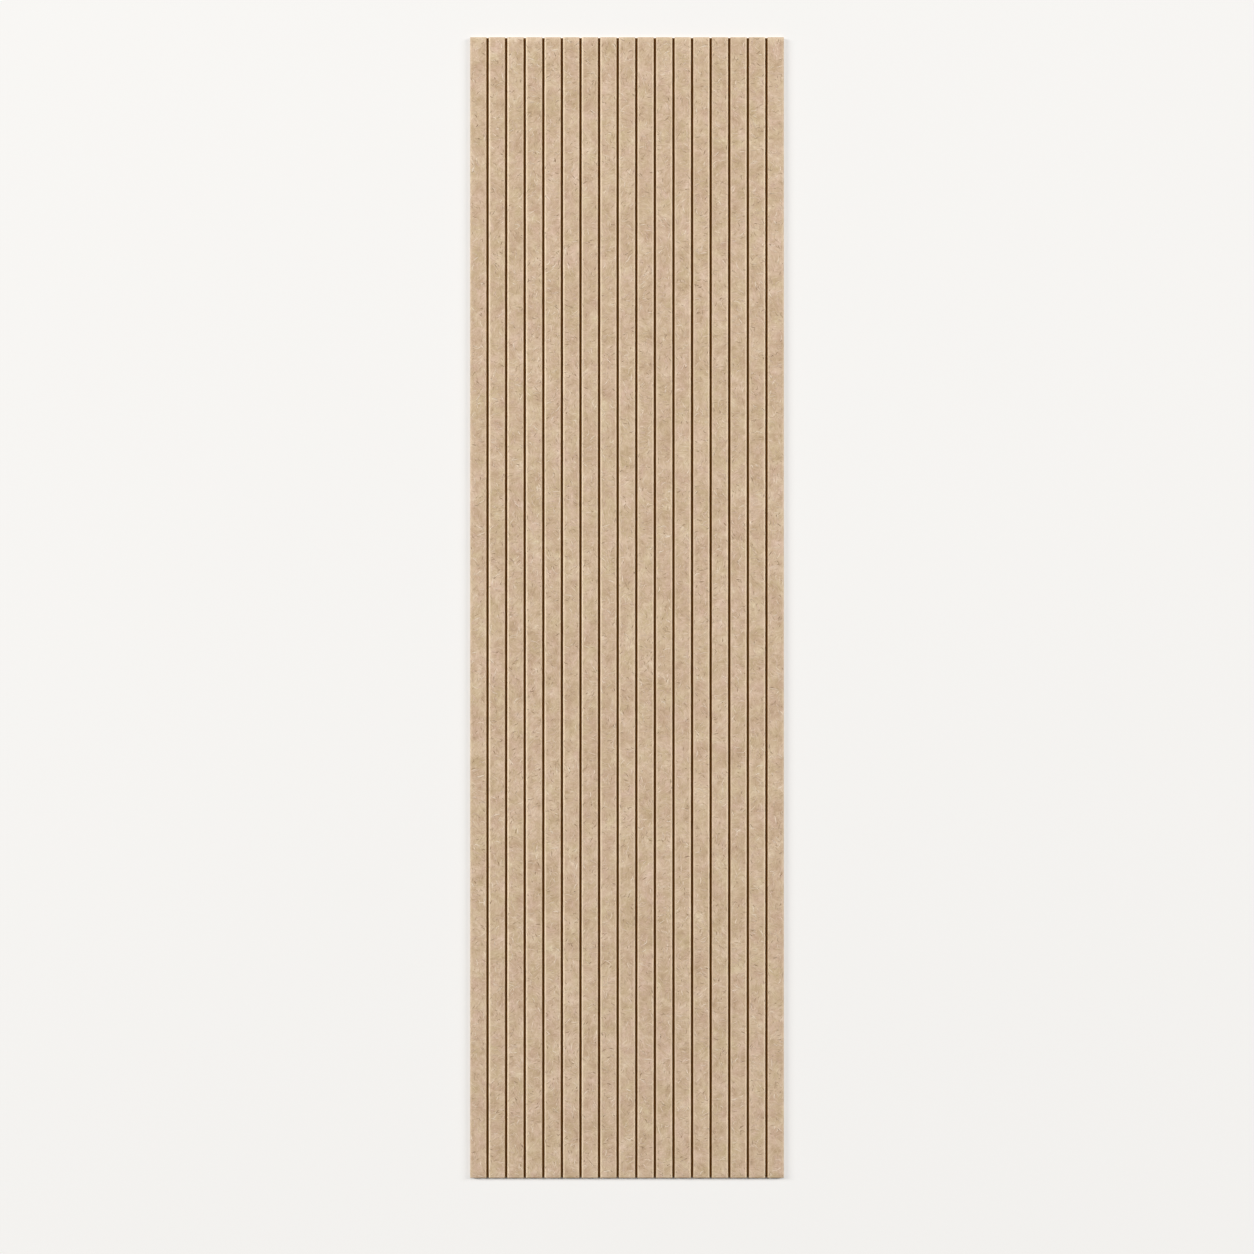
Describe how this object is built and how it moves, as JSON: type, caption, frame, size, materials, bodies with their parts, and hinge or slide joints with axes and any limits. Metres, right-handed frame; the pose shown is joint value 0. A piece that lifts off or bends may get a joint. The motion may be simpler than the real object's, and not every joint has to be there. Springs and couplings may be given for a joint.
{
  "type": "acoustic panel",
  "caption": "Flat acoustic wall panel of pressed fibre felt: straight grooves part its face into slats, and its plain back is glued to a wall.",
  "frame": {"origin": "middle of the back face, which lies on the floor or goes against the wall", "axes": "+Z out of the grooved face, +Y along the grooves towards the top end, +X across the slats"},
  "size_m": [0.66, 2.4, 0.012],
  "materials": {
    "felt": "matte"
  },
  "bodies": {
    "root": {"felt_panel": "felt"}
  },
  "joints": []
}
